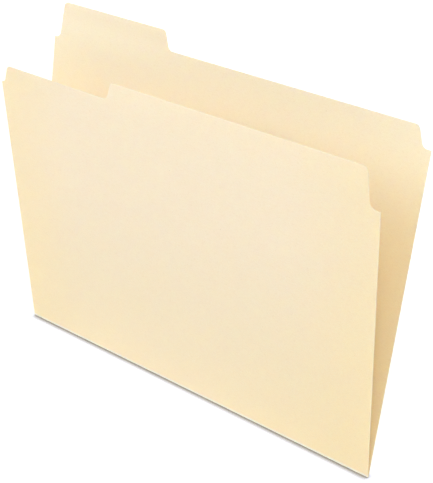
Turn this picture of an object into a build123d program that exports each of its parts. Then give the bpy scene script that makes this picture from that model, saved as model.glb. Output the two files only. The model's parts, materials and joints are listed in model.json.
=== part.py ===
# A letter-size file folder: one sheet of manila card, die-cut along its top edges and folded once.
# The fold runs along X with its underside on Z = 0, and the two leaves stand open above it in a V.
# The front leaf leans to -Y, and the taller back leaf, which carries the tab, leans to +Y.
import os
from math import radians, tan

from build123d import *

os.makedirs("parts", exist_ok=True)

# The sheet and its fold
fold_length = 298.45  # 11 3/4 in along the fold
card = 0.28  # 11 point card
bend_radius = 0.25  # inside the fold
open_angle = 14.0  # between the leaves

# Heights above the underside of the shut fold, and steps from one edge to the next
back_height = 228.6  # 9 in to the back leaf's long top edge
tab_rise = 12.7  # the tab above that edge
back_shoulder_drop = 12.7  # the notched top corners below that edge
front_drop = 7.94  # the front leaf's highest edge below the back leaf's long edge
undercut_depth = 12.7  # the stretch in front of the tab below the front's highest edge
front_shoulder_drop = 12.7  # the notched top corners below the undercut

# Shoulders at the ends of the top edges, measured along the fold
back_left_shoulder = 5.0
back_right_shoulder = 5.6
front_left_shoulder = 2.8
front_right_shoulder = 6.9

# Die-cut sides and corners
tab_reach = 100.2  # from the left edge to the middle of the tab's inner side
steep_slant = 5.0  # off upright, on the sides that rise two steps
easy_slant = 20.0  # off upright, on the sides that rise one step
corner_radius = 3.5  # outward corners
hollow_radius = 4.5  # inward corners
shoulder_share = 0.9  # the most of a shoulder that its inward corner may take up

outer_radius = bend_radius + card
half_open = open_angle / 2
left_edge = -fold_length / 2
right_edge = fold_length / 2
tab_height = back_height + tab_rise
back_shoulder = back_height - back_shoulder_drop
front_height = back_height - front_drop
undercut_height = front_height - undercut_depth
front_shoulder = undercut_height - front_shoulder_drop
tab_middle = left_edge + tab_reach


def lean(rise, slant):
    """How far a die-cut side moves along the fold over its rise."""
    return rise * tan(radians(slant))


def shoulder_radius(shoulder, slant):
    """The inward corner between a shoulder and its slanted side, kept within the shoulder."""
    room = shoulder / tan(radians((90 - slant) / 2))
    return min(hollow_radius, shoulder_share * room)


# The upright plane through the fold's axis, turned to each leaf and set off to its inner face
upright = Plane(origin=(0, 0, outer_radius), x_dir=(1, 0, 0), z_dir=(0, -1, 0))
back_inner_face = upright.rotated((-half_open, 0, 0)).offset(-bend_radius)
front_inner_face = upright.rotated((half_open, 0, 0)).offset(bend_radius)

# Corners of each leaf: place along the fold, height above the shut fold's underside, radius
back_left_rise = tab_height - back_shoulder
tab_half_lean = lean(tab_rise, easy_slant) / 2
back_left = left_edge + back_left_shoulder
back_right = right_edge - back_right_shoulder
back_corners = [
    (left_edge, outer_radius, 0),
    (right_edge, outer_radius, 0),
    (right_edge, back_shoulder, 0),
    (back_right, back_shoulder, shoulder_radius(back_right_shoulder, easy_slant)),
    (back_right - lean(back_shoulder_drop, easy_slant), back_height, corner_radius),
    (tab_middle + tab_half_lean, back_height, hollow_radius),
    (tab_middle - tab_half_lean, tab_height, corner_radius),
    (back_left + lean(back_left_rise, steep_slant), tab_height, corner_radius),
    (back_left, back_shoulder, shoulder_radius(back_left_shoulder, steep_slant)),
    (left_edge, back_shoulder, 0),
]

front_right_rise = front_height - front_shoulder
step_half_lean = lean(undercut_depth, easy_slant) / 2
front_left = left_edge + front_left_shoulder
front_right = right_edge - front_right_shoulder
front_corners = [
    (left_edge, outer_radius, 0),
    (right_edge, outer_radius, 0),
    (right_edge, front_shoulder, 0),
    (front_right, front_shoulder, shoulder_radius(front_right_shoulder, steep_slant)),
    (front_right - lean(front_right_rise, steep_slant), front_height, corner_radius),
    (tab_middle + step_half_lean, front_height, corner_radius),
    (tab_middle - step_half_lean, undercut_height, hollow_radius),
    (front_left + lean(front_shoulder_drop, easy_slant), undercut_height, corner_radius),
    (front_left, front_shoulder, shoulder_radius(front_left_shoulder, easy_slant)),
    (left_edge, front_shoulder, 0),
]

# Back leaf, with the tab at the left
with BuildPart() as back_leaf:
    with BuildSketch(back_inner_face):
        with BuildLine():
            FilletPolyline(
                [(x, height - outer_radius) for x, height, radius in back_corners],
                radius=[radius for x, height, radius in back_corners],
                close=True,
            )
        make_face()
    extrude(amount=-card)
back_leaf.part.label = "back_leaf"
export_step(back_leaf.part, "parts/back_leaf.step")

# Front leaf, undercut in front of the tab
with BuildPart() as front_leaf:
    with BuildSketch(front_inner_face):
        with BuildLine():
            FilletPolyline(
                [(x, height - outer_radius) for x, height, radius in front_corners],
                radius=[radius for x, height, radius in front_corners],
                close=True,
            )
        make_face()
    extrude(amount=card)
front_leaf.part.label = "front_leaf"
export_step(front_leaf.part, "parts/front_leaf.step")

# The fold: the stretch of card that rolls round from one leaf's foot to the other's
with BuildPart() as fold:
    with BuildSketch(Plane.YZ.offset(left_edge)):
        with BuildLine():
            inside = CenterArc((0, outer_radius), bend_radius, 180 + half_open, 180 - open_angle)
            outside = CenterArc((0, outer_radius), outer_radius, 180 + half_open, 180 - open_angle)
            Line(inside @ 0, outside @ 0)
            Line(inside @ 1, outside @ 1)
        make_face()
    extrude(amount=fold_length)
fold.part.label = "fold"
export_step(fold.part, "parts/fold.step")
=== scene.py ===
import json
from math import asin, atan2, ceil, cos, pi, radians, sin, tan

import bpy
import numpy as np
from mathutils import Matrix, Vector


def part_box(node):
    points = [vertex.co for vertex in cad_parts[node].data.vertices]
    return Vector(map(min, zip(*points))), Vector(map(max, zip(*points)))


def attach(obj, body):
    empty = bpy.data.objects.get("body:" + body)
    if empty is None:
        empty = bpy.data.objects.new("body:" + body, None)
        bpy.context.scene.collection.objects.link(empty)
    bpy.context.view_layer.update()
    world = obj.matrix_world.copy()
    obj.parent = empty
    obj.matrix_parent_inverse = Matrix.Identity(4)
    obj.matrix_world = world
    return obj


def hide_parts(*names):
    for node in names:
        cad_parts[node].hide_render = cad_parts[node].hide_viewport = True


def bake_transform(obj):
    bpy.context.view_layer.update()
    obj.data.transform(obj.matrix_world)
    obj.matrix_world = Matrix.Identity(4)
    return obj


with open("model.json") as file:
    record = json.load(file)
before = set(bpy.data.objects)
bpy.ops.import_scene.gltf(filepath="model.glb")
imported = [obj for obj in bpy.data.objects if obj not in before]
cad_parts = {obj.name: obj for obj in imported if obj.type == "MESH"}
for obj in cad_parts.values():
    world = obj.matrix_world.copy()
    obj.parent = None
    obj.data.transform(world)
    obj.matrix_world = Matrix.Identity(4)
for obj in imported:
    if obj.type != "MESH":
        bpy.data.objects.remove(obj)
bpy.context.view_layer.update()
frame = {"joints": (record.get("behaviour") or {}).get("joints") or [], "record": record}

scene = bpy.context.scene
scene.view_settings.view_transform = "Standard"

# the fold's length, the height of its hinge line and the lean of each leaf come from the frame
hinges = {joint["child"]: joint for joint in frame["joints"]}
mounts = {mount["name"]: mount for mount in frame["record"]["mounts"]}
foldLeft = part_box("fold")[0].x
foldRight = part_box("fold")[1].x
hingeHeight = hinges["back"]["pos_m"][2]
leafLean = asin(-mounts["back_face"]["axis"][2])
print(f"frame: fold {foldRight - foldLeft:.4f} m long, leaves lean {leafLean:.4f} rad")

white = (1.0, 1.0, 1.0, 1.0)
black = (0.0, 0.0, 0.0, 1.0)


# one output socket of a node tree: arithmetic on it adds Math nodes to that tree
class Wire:
    def __init__(self, tree, socket=None):
        self.tree = tree
        self.socket = socket

    # any other node: its type, its settings, the values or links of its inputs, and which output to take
    def node(self, kind, settings=None, inputs=None, pick=0):
        made = self.tree.nodes.new(kind)
        for name, value in (settings or {}).items():
            setattr(made, name, value)
        for name, value in (inputs or {}).items():
            if isinstance(value, Wire):
                self.tree.links.new(value.socket, made.inputs[name])
            else:
                made.inputs[name].default_value = value
        return Wire(self.tree, made.outputs[pick] if made.outputs else None)

    # a Math node, which is what each operator below adds
    def math(self, operation, first, second=0.0):
        return self.node("ShaderNodeMath", {"operation": operation}, {0: first, 1: second})

    def __abs__(self):
        return self.math("ABSOLUTE", self)

    def __add__(self, other):
        return self.math("ADD", self, other)

    def __radd__(self, other):
        return self.math("ADD", other, self)

    def __sub__(self, other):
        return self.math("SUBTRACT", self, other)

    def __rsub__(self, other):
        return self.math("SUBTRACT", other, self)

    def __mul__(self, other):
        return self.math("MULTIPLY", self, other)

    def __rmul__(self, other):
        return self.math("MULTIPLY", other, self)

    # 0 below low, 1 above high, and a smooth step between them
    def step(self, low, high):
        limits = {"Value": self, "From Min": low, "From Max": high}
        return self.node("ShaderNodeMapRange", {"interpolation_type": "SMOOTHSTEP"}, limits)

    # first where this share is 0, second where it is 1
    def mix(self, first, second):
        return self.node("ShaderNodeMix", {"data_type": "RGBA"}, {0: self, 6: first, 7: second}, 2)

    # soft noise around 0.5, with features of the given size in metres along x, y and z
    def noise(self, size, detail=0.0, turn=0.0):
        stretch = {"Vector": self, "Rotation": (0.0, turn, 0.0), "Scale": size}
        place = self.node("ShaderNodeMapping", {"vector_type": "TEXTURE"}, stretch)
        return self.node("ShaderNodeTexNoise", None, {"Vector": place, "Scale": 1.0, "Detail": detail})


# an empty material, and a wire to build its node tree with
def newMaterial(name):
    material = bpy.data.materials.new(name)
    material.use_nodes = True
    material.node_tree.nodes.clear()
    return material, Wire(material.node_tree)


pulpScatter = {
    "weight": 0.5,
    "depth": 0.0006,  # how far light wanders inside the card
    "colours": (1.2, 0.9, 0.35),  # red goes furthest, so what shines through is warm
}


# the shader under both finishes of the card: pulp that lets some light through, with a shallow relief
def finishPulp(wire, look, colour, roughness, relief):
    raised = {"Strength": look["reliefStrength"], "Distance": look["reliefDepth"], "Height": relief}
    shader = wire.node("ShaderNodeBsdfPrincipled", None, {
        "Base Color": colour,
        "Roughness": roughness,
        "Normal": wire.node("ShaderNodeBump", None, raised, "Normal"),
        "Specular IOR Level": look["gloss"],
        "Subsurface Weight": pulpScatter["weight"],
        "Subsurface Radius": pulpScatter["colours"],
        "Subsurface Scale": pulpScatter["depth"],
    })
    wire.node("ShaderNodeOutputMaterial", None, {"Surface": shader})


cardLook = {
    "paleBuff": (0.992, 0.826, 0.652, 1.0),
    "deepBuff": (0.976, 0.788, 0.594, 1.0),
    "cloudSize": 0.011,  # cloudy look of the pressed pulp
    "grainSize": (0.0060, 0.0007, 0.0007),  # streaks that run along the fold
    "pulpContrast": 0.8,

    "paintedShadeBuff": (0.990, 0.759, 0.440, 1.0),  # painted warm shade, darker towards the card's sides and its fold
    "sideReach": 0.070,  # how far in from the sides
    "sideHeights": (0.200, 0.250),  # the painted shade of the sides dies away between these
    "sideShare": 0.42,
    "foldReach": 0.190,  # how far up from the fold
    "foldShare": 0.42,
    "endReach": 0.120,  # from the middle of the fold to where its right end has all its extra share, painted as the warm glow of light through the card
    "endShare": 0.21,
    "insideSpared": 0.6,  # share of the fold's painted shade that the inside doesn't have
    "paintedLitInside": (0.905, 0.838, 0.710, 1.0),  # painted light: paler up the inside, where more light falls in from above
    "insideHeights": (0.140, 0.225),
    "insideShare": 0.6,
    "paintedTopShade": (0.750, 0.620, 0.430, 1.0),  # painted shade: darker at the top of the back leaf, on the tab
    "paintedTopHeights": (0.224, 0.234),
    "paintedTopShare": 0.18,

    "tanFibre": (0.720, 0.520, 0.290, 1.0),
    "tanTurns": (8.0, 97.0),  # degrees in the plane of the card
    "tanShare": 0.22,
    "creamFibre": (0.985, 0.925, 0.780, 1.0),
    "creamTurns": (52.0, 141.0),
    "creamShare": 0.30,
    "fibreSize": (0.0022, 0.00012, 0.00012),
    "fibreLevels": (0.62, 0.78),  # noise that starts to show as a fibre, and that shows in full

    "brownFleck": (0.400, 0.260, 0.130, 1.0),
    "fleckGap": 0.013,
    "fleckSize": 0.0004,
    "fleckLots": (0.55, 0.95),  # lots at which a cell starts to have a fleck, and has a full one
    "fleckShare": 0.35,

    "creaseHeights": (0.00078, 0.0026),  # the crease's pale bruise and painted highlight die away between these
    "creaseShare": 0.90,
    # paler along the cut edges, partly bruise and partly painted highlight
    "edgeWidth": 0.0008,
    "edgeShare": 0.35,

    "roughness": 0.62,
    "cloudRoughness": 0.12,
    "bruiseRoughness": 0.20,
    "fibreGloss": 0.04,
    "gloss": 0.25,
    "toothSize": 0.00035,
    "toothRelief": 0.5,  # against 1 for the grain
    "reliefStrength": 0.25,
    "reliefDepth": 0.00003,
}


# pressed pulp: pale and deep buff in soft clouds and streaks. Over it lie painted warm shade towards the
# sides and the fold, a painted paler band up the inside where more light falls, painted shade on the tab,
# short fibres both darker and paler than the pulp, a few bark flecks, and paler pulp at the crease and cut
# edges, part bruise, part painted highlight
def makeCardMaterial(look):
    material, wire = newMaterial("manilaCard")
    place = wire.node("ShaderNodeTexCoord", pick="Object")
    across = wire.node("ShaderNodeSeparateXYZ", None, {"Vector": place}, "X")
    height = wire.node("ShaderNodeSeparateXYZ", None, {"Vector": place}, "Z")
    inside = wire.node("ShaderNodeAttribute", {"attribute_name": "inside"}, pick="Fac")
    fromEdge = wire.node("ShaderNodeAttribute", {"attribute_name": "edgeDistance"}, pick="Fac")
    cloud = place.noise((look["cloudSize"],) * 3, detail=3.0)
    grain = place.noise(look["grainSize"], detail=2.0)
    tooth = place.noise((look["toothSize"],) * 3, detail=1.0)
    pulp = (cloud + grain - 1) * look["pulpContrast"] + 0.5

    # stretched noise at two turns, of which only the peaks show
    def fibres(turns):
        first, second = [place.noise(look["fibreSize"], turn=radians(turn)) for turn in turns]
        return first.step(*look["fibreLevels"]) + second.step(*look["fibreLevels"])

    tanFibres = fibres(look["tanTurns"])
    creamFibres = fibres(look["creamTurns"])

    # a spot in the middle of a cell, where the cell's lot is high enough
    cells = {"Vector": place, "Scale": 1 / look["fleckGap"]}
    away = wire.node("ShaderNodeTexVoronoi", None, cells, "Distance")
    lottery = wire.node("ShaderNodeTexVoronoi", None, cells, "Color")
    lot = wire.node("ShaderNodeSeparateColor", None, {"Color": lottery}, "Red")
    reach = look["fleckSize"] / look["fleckGap"]
    fleck = (1 - away.step(reach / 2, reach)) * lot.step(*look["fleckLots"])

    # painted warm shade: the sides and the fold each darken their share of what the other leaves
    fromSide = foldRight - abs(across)
    atSide = (1 - fromSide.step(0.0, look["sideReach"])) * (1 - height.step(*look["sideHeights"]))
    atFold = (1 - height.step(0.0, look["foldReach"])) * (1 - inside * look["insideSpared"])
    foldShare = look["foldShare"] + across.step(0.0, look["endReach"]) * look["endShare"]
    paintedWarmShade = 1 - (1 - atSide * look["sideShare"]) * (1 - atFold * foldShare)

    # paler at the crease and the cut edges, partly bruised pulp and partly a painted highlight, and broken
    # up by the grain
    crease = 1 - height.step(*look["creaseHeights"])
    edge = 1 - fromEdge.step(0.0, look["edgeWidth"])
    bruiseAndHighlight = (crease * look["creaseShare"] + edge * look["edgeShare"]) * (grain + 0.5)

    layers = [
        # painted warm shade towards the sides and the fold
        (paintedWarmShade, "paintedShadeBuff"),
        # painted light: paler up the inside
        (inside * height.step(*look["insideHeights"]) * look["insideShare"], "paintedLitInside"),
        # painted shade on the tab
        (height.step(*look["paintedTopHeights"]) * look["paintedTopShare"], "paintedTopShade"),
        (tanFibres * look["tanShare"], "tanFibre"),
        (creamFibres * look["creamShare"], "creamFibre"),
        (fleck * look["fleckShare"], "brownFleck"),
        # pale bruise at the crease and cut edges, partly a painted highlight
        (bruiseAndHighlight, "creamFibre"),
    ]
    colour = pulp.mix(look["deepBuff"], look["paleBuff"])
    for share, paint in layers:
        colour = share.mix(colour, look[paint])
    roughness = look["roughness"] + (cloud - 0.5) * look["cloudRoughness"]
    roughness = roughness + bruiseAndHighlight * look["bruiseRoughness"]
    roughness = roughness - (tanFibres + creamFibres) * look["fibreGloss"]
    finishPulp(wire, look, colour, roughness, tooth * look["toothRelief"] + grain)
    return material


cutLook = {
    # both colours of the cut are painted a little darker, as shade along the cut edges
    "core": (0.930, 0.830, 0.640, 1.0),
    "shadowPly": (0.850, 0.705, 0.475, 1.0),
    "plySize": (0.0012, 0.00009, 0.0009),
    "plyLevels": (0.35, 0.65),  # noise that is all shadow, and that is all core
    "roughness": 0.85,
    "plyGloss": 0.10,
    "gloss": 0.20,
    "reliefStrength": 0.40,
    "reliefDepth": 0.00003,
}


# the raw core where the die went through: plies of fibre, rougher and paler than the faces. Both its
# colours are painted a little darker, as painted shade along the cut edges
def makeCutMaterial(look):
    material, wire = newMaterial("cutCard")
    place = wire.node("ShaderNodeTexCoord", pick="Object")
    ply = place.noise(look["plySize"], detail=1.0)
    colour = ply.step(*look["plyLevels"]).mix(look["shadowPly"], look["core"])
    finishPulp(wire, look, colour, look["roughness"] - ply * look["plyGloss"], ply)
    return material


cardMaterial = makeCardMaterial(cardLook)
cutMaterial = makeCutMaterial(cutLook)
print("materials: card and cut edge made")

sheetShape = {
    "card": 0.00028,
    "columnGap": 0.006,
    "rowCount": 54,
    "arcSteps": 8,
    "fringe": (0.0, 0.0004, 0.0009, 0.0020, 0.0045),  # extra rows and columns beside a cut edge
    "sharpAngle": 40.0,  # degrees between two faces, past which their edge stays sharp
}
dieShape = {
    "step": 0.1002,  # from the left side to the middle of the step between a leaf's two edges
    "stepSlant": 20.0,  # slants are in degrees from upright
    "corner": 0.0035,
    "hollow": 0.0045,
}
backCut = {
    "shoulder": 0.2159,  # heights are above the underside of the shut fold
    "leftEdge": 0.2413,  # the top of the tab
    "rightEdge": 0.2286,
    "leftShoulder": 0.0050,
    "leftHollow": 0.0045,
    "leftSlant": 5.0,
    "rightShoulder": 0.0056,
    "rightSlant": 20.0,
}
frontCut = {
    "shoulder": 0.19526,
    "leftEdge": 0.20796,  # undercut, in front of the tab
    "rightEdge": 0.22066,
    "leftShoulder": 0.0028,
    "leftHollow": 0.0036,
    "leftSlant": 20.0,
    "rightShoulder": 0.0069,
    "rightSlant": 5.0,
}


# how far a slanted side runs sideways: its rise times the tangent of its slant
def sideRun(rise, slant):
    return rise * tan(radians(slant))


# die-cut corners from left to right, as place along the fold, height and radius: a shoulder at each side,
# slants up from them to the two edges, and a slanted step between the edges. An outer corner has the
# corner's radius and an inner one the hollow's
def cutCorners(cut, die):
    low = cut["shoulder"]
    leftEdge = cut["leftEdge"]
    rightEdge = cut["rightEdge"]
    left = foldLeft + cut["leftShoulder"]
    right = foldRight - cut["rightShoulder"]
    step = foldLeft + die["step"]
    halfRun = sideRun(abs(leftEdge - rightEdge), die["stepSlant"]) / 2
    stepRadii = [die["corner"], die["hollow"]]
    if leftEdge < rightEdge:
        stepRadii.reverse()
    return [
        (foldLeft, low, 0),
        (left, low, cut["leftHollow"]),
        (left + sideRun(leftEdge - low, cut["leftSlant"]), leftEdge, die["corner"]),
        (step - halfRun, leftEdge, stepRadii[0]),
        (step + halfRun, rightEdge, stepRadii[1]),
        (right - sideRun(rightEdge - low, cut["rightSlant"]), rightEdge, die["corner"]),
        (right, low, die["hollow"]),
        (foldRight, low, 0),
    ]


# straight runs joined by arcs: an arc touches both its runs at radius * tan(turn / 2) from the corner,
# and a long run is divided so that its points are no further apart than the gap
def cutLine(corners, gap, arcSteps):
    spots = np.array([corner[:2] for corner in corners])
    radii = [corner[2] for corner in corners]
    runs = np.diff(spots, axis=0)
    runs /= np.linalg.norm(runs, axis=1)[:, None]
    arcs = [spots[:1]]
    for spot, radius, into, out in zip(spots[1:-1], radii[1:-1], runs, runs[1:]):
        turn = atan2(into[0] * out[1] - into[1] * out[0], into @ out)
        inward = np.sign(turn) * np.array([-into[1], into[0]])
        centre = spot - into * radius * tan(abs(turn) / 2) + inward * radius
        angle = np.linspace(0, abs(turn), arcSteps + 1)[:, None]
        arcs.append(centre + radius * (into * np.sin(angle) - inward * np.cos(angle)))
    arcs.append(spots[-1:])
    line = []
    for before, after in zip(arcs, arcs[1:]):
        pieces = ceil(np.linalg.norm(after[0] - before[-1]) / gap)
        line += [before[:-1], np.linspace(before[-1], after[0], pieces, endpoint=False)]
    return np.concatenate(line + [arcs[-1]])


# distance from each point to the nearest stretch of a line of points, all in the flat sheet
def distanceToLine(points, line):
    start = line[:-1]
    run = np.diff(line, axis=0)
    offset = points[:, None, :] - start
    share = np.clip((offset * run).sum(-1) / (run * run).sum(-1), 0, 1)
    return np.linalg.norm(offset - share[..., None] * run, axis=-1).min(1)


# a closed shell of card from two facing grids of points: both faces, then a strip of quads round the rim.
# side is 1 behind the fold and -1 in front of it, and says which of the two faces looks forward
def makeShell(name, outer, inner, side, edgeDistance):
    near, far = (outer, inner) if side < 0 else (inner, outer)
    rows, columns = near.shape[:2]
    count = rows * columns
    grid = np.arange(count).reshape(rows, columns)
    quads = np.stack([grid[:-1, :-1], grid[:-1, 1:], grid[1:, 1:], grid[1:, :-1]], -1)
    quads = quads.reshape(-1, 4)
    rim = np.concatenate([grid[0], grid[1:, -1], grid[-1, -2::-1], grid[-2:0:-1, 0]])
    after = np.roll(rim, -1)
    strip = np.stack([rim + count, after + count, after, rim], -1)
    faces = np.concatenate([quads, quads[:, ::-1] + count, strip])
    points = np.concatenate([near.reshape(-1, 3), far.reshape(-1, 3)])
    mesh = bpy.data.meshes.new(name)
    mesh.from_pydata(points.tolist(), [], faces.tolist())
    mesh.materials.append(cardMaterial)
    mesh.materials.append(cutMaterial)
    mesh.polygons.foreach_set("material_index", np.arange(len(faces)) >= 2 * len(quads))
    mesh.polygons.foreach_set("use_smooth", np.ones(len(faces), bool))
    mesh.set_sharp_from_angle(angle=radians(sheetShape["sharpAngle"]))
    marks = {
        "edgeDistance": np.tile(edgeDistance.ravel(), 2),
        "inside": np.repeat([side > 0, side < 0], count),
    }
    for label, values in marks.items():
        mark = mesh.attributes.new(label, "FLOAT", "POINT")
        mark.data.foreach_set("value", values.astype(np.float32))
    mesh.update()
    shell = bpy.data.objects.new(name, mesh)
    scene.collection.objects.link(shell)
    return shell


# a point of a leaf stands up it by its height and off the plane through the hinge line by off, and that
# plane leans from upright by the leaf's lean
def leafPoints(x, height, off, side):
    up = height - hingeHeight
    y = side * (up * sin(leafLean) + off * cos(leafLean))
    z = hingeHeight + up * cos(leafLean) - off * sin(leafLean)
    return np.stack(np.broadcast_arrays(x, y, z), -1)


# a leaf: each column stands under one point of the die-cut line, and rows share out the column's height,
# crowded towards the cut edges
def makeLeaf(name, corners, side, shape):
    line = cutLine(corners, shape["columnGap"], shape["arcSteps"])
    fringe = np.array(shape["fringe"])
    x = np.concatenate([line[:, 0], foldLeft + fringe, foldRight - fringe])
    x = np.unique(x.round(7))  # columns within a tenth of a micrometre are one
    top = np.interp(x, line[:, 0], line[:, 1])
    crowded = 1 - fringe[::-1] / top.min()
    even = np.linspace(0, 1, shape["rowCount"], endpoint=False)
    share = np.concatenate([even[even < crowded[0]], crowded])[:, None]
    height = hingeHeight + share * (top - hingeHeight)
    x = np.broadcast_to(x, height.shape)
    feet = np.array([(foldLeft, hingeHeight), (foldRight, hingeHeight)])
    outline = np.concatenate([feet[:1], line, feet[1:]])
    away = distanceToLine(np.stack([x.ravel(), height.ravel()], -1), outline)
    outer = leafPoints(x, height, hingeHeight, side)
    inner = leafPoints(x, height, hingeHeight - shape["card"], side)
    return makeShell(name, outer, inner, side, away)


backLeaf = makeLeaf("backLeaf", cutCorners(backCut, dieShape), 1, sheetShape)
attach(backLeaf, "back")
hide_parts("back_leaf")

frontLeaf = makeLeaf("frontLeaf", cutCorners(frontCut, dieShape), -1, sheetShape)
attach(frontLeaf, "front")
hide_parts("front_leaf")
print("leaves: back and front made")

foldShape = {
    "columns": 60,
    "arcSteps": 8,
    "lastStep": 18.0,  # degrees of the one long step up to the leaf's foot
    "pinch": 0.0001,  # how much thinner the card is pressed halfway round
    "inset": 0.00003,  # short of the leaves' sides, so that its ends share no plane with theirs
}


# half of the fold: an arc of card about the hinge line, from the underside round to a leaf's foot, whose
# inside radius grows by the pinch times the sine of pi times the share of the way round
def makeFoldHalf(name, side, shape, card):
    full = pi / 2 - leafLean
    turn = np.linspace(0, full - radians(shape["lastStep"]), shape["arcSteps"])
    turn = np.append(turn, full)[:, None]
    start = foldLeft + shape["inset"]
    end = foldRight - shape["inset"]
    x = np.linspace(start, end, shape["columns"] + 1)[None, :]

    def arc(radius):
        y = side * radius * np.sin(turn)
        z = hingeHeight - radius * np.cos(turn)
        return np.stack(np.broadcast_arrays(x, y, z), -1)

    outer = arc(hingeHeight)
    inner = arc(hingeHeight - card + shape["pinch"] * np.sin(pi * turn / full))
    away = np.broadcast_to(np.minimum(x - foldLeft, foldRight - x), outer.shape[:2])
    return makeShell(name, outer, inner, side, away)


# the two halves of the fold are made where they rest, and neither is tied to a leaf's body. The point up
# each leaf at the inside radius of the crease, from the hinge line, is worked out and not used
insideRadius = hingeHeight - sheetShape["card"]
hingeLine = Vector((0, 0, hingeHeight))
for body, side in (("back", 1), ("front", -1)):
    half = makeFoldHalf(body + "FoldHalf", side, foldShape, sheetShape["card"])
    upLeaf = Vector((0, side * sin(leafLean), cos(leafLean)))
    hingeLine - upLeaf * insideRadius * cos(leafLean)
    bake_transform(half)
    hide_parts("fold")
print("fold: two halves made")


# 1 where the camera looks, directly or in a reflection, and 0 for the light that falls on things
def seenRays(wire):
    kinds = ("Is Camera Ray", "Is Glossy Ray", "Is Transmission Ray")
    direct, mirrored, through = [wire.node("ShaderNodeLightPath", pick=kind) for kind in kinds]
    return direct + mirrored + through


floorLook = {
    "size": 6.0,
    "drop": 0.00002,  # a hair below the fold, so that nothing shares its plane
    "colour": (0.9, 0.9, 0.9, 1.0),
    "seenColour": 0.5,
    "seenLift": 0.6,
    "farLift": (0.5, 1.5),  # metres from the folder, between which the lift alone comes up to white
    "contactReach": 0.006,
    "contactSamples": 8,
    "contactShares": (0.45, 1.0),  # how open the floor is, from deepest in the contact to clear of it
    # painted contact shadow on the floor: its colour where it is deepest
    "contactShadowColour": (0.235, 0.210, 0.172, 1.0),
    "shadowRimTint": (0.410, 0.490, 0.760, 1.0),  # painted cool tint at the rim of the painted contact shadow, against the warm light off the card that falls there
    "rimShares": (0.30, 0.75),  # how clear of the contact its colour turns to the rim's
}


# white floor: all light meets plain white paint. What the camera sees of it is greyer paint, which takes
# the folder's shadow, with a lift to white, and both darken close to whatever stands on it in a painted
# contact shadow, warm in its depth and cool at its rim
def makeFloor(look):
    material, wire = newMaterial("whiteFloor")
    seen = seenRays(wire)
    nearby = {"Distance": look["contactReach"]}
    contact = wire.node("ShaderNodeAmbientOcclusion", {"samples": look["contactSamples"]}, nearby, "AO")
    low, high = look["contactShares"]
    clear = wire.node("ShaderNodeMapRange", None, {"Value": contact, "From Min": low, "From Max": high})
    depth = clear.step(*look["rimShares"]).mix(look["contactShadowColour"], look["shadowRimTint"])
    shade = clear.mix(depth, white)
    place = wire.node("ShaderNodeTexCoord", pick="Object")
    away = wire.node("ShaderNodeVectorMath", {"operation": "LENGTH"}, {0: place}, "Value")
    lift = look["seenLift"] + away.step(*look["farLift"]) * (1 - look["seenLift"])
    shader = wire.node("ShaderNodeBsdfPrincipled", None, {
        "Base Color": seen.mix(look["colour"], (seen * look["seenColour"]).mix(black, shade)),
        "Roughness": 1.0,
        "Specular IOR Level": 0.0,
        "Emission Color": (seen * lift).mix(black, shade),
        "Emission Strength": 1.0,
    })
    wire.node("ShaderNodeOutputMaterial", None, {"Surface": shader})
    half = look["size"] / 2
    corners = [(-half, -half), (half, -half), (half, half), (-half, half)]
    mesh = bpy.data.meshes.new("floor")
    mesh.from_pydata([(x, y, -look["drop"]) for x, y in corners], [], [(0, 1, 2, 3)])
    mesh.materials.append(material)
    floor = bpy.data.objects.new("floor", mesh)
    scene.collection.objects.link(floor)


worldLook = {"light": 0.3}


# white all round: strength 1 where the camera or a reflection looks, and the room's light elsewhere
def makeWorld(look):
    world = bpy.data.worlds.new("whiteRoom")
    world.use_nodes = True
    world.node_tree.nodes.clear()
    wire = Wire(world.node_tree)
    strength = seenRays(wire) * (1 - look["light"]) + look["light"]
    sky = wire.node("ShaderNodeBackground", None, {"Color": white, "Strength": strength})
    wire.node("ShaderNodeOutputWorld", None, {"Surface": sky})
    scene.world = world


lampRig = {
    "aim": (0.0, 0.0, 0.12),
    "distance": 5.0,
    "size": 3.0,
    "softboxes": {  # degrees to the right of the front, degrees up, and level
        "leftSoftbox": (-45.0, 30.0, 0.425),
        "rightSoftbox": (45.0, 55.0, 0.545),
        "backSoftbox": (180.0, 20.0, 0.50),
    },
}


# softboxes that face the aim: power is level times the square of pi times the distance, so that a lamp of
# level 1 alone lights white paint that faces it to white
def makeLamps(rig):
    for name, (turn, rise, level) in rig["softboxes"].items():
        way = Vector((sin(radians(turn)), -cos(radians(turn)), tan(radians(rise)))).normalized()
        data = bpy.data.lights.new(name, "AREA")
        data.size = rig["size"]
        data.energy = level * (pi * rig["distance"]) ** 2
        lamp = bpy.data.objects.new(name, data)
        lamp.location = Vector(rig["aim"]) + way * rig["distance"]
        lamp.rotation_euler = way.to_track_quat("Z", "Y").to_euler()
        scene.collection.objects.link(lamp)


makeFloor(floorLook)
makeWorld(worldLook)
makeLamps(lampRig)
print("stage: floor and light made")

cameraView = {
    "place": (0.42968, -0.54210, 0.46666),
    "heading": 37.03,  # degrees to the left of +Y
    "dip": 26.91,  # degrees below level
    "roll": 2.79,
    "lens": 88.49,
    "nearest": 0.01,
}


# a camera looks straight down at first: it is rolled, tipped up to its dip and turned to its heading
def makeCamera(view):
    data = bpy.data.cameras.new("photoCamera")
    data.lens = view["lens"]
    data.clip_start = view["nearest"]
    camera = bpy.data.objects.new("photoCamera", data)
    turn = Matrix.Rotation(radians(view["heading"]), 4, "Z")
    turn = turn @ Matrix.Rotation(radians(90 - view["dip"]), 4, "X")
    turn = turn @ Matrix.Rotation(radians(view["roll"]), 4, "Z")
    camera.matrix_world = Matrix.Translation(view["place"]) @ turn
    scene.collection.objects.link(camera)
    scene.camera = camera


makeCamera(cameraView)
print("camera: set")
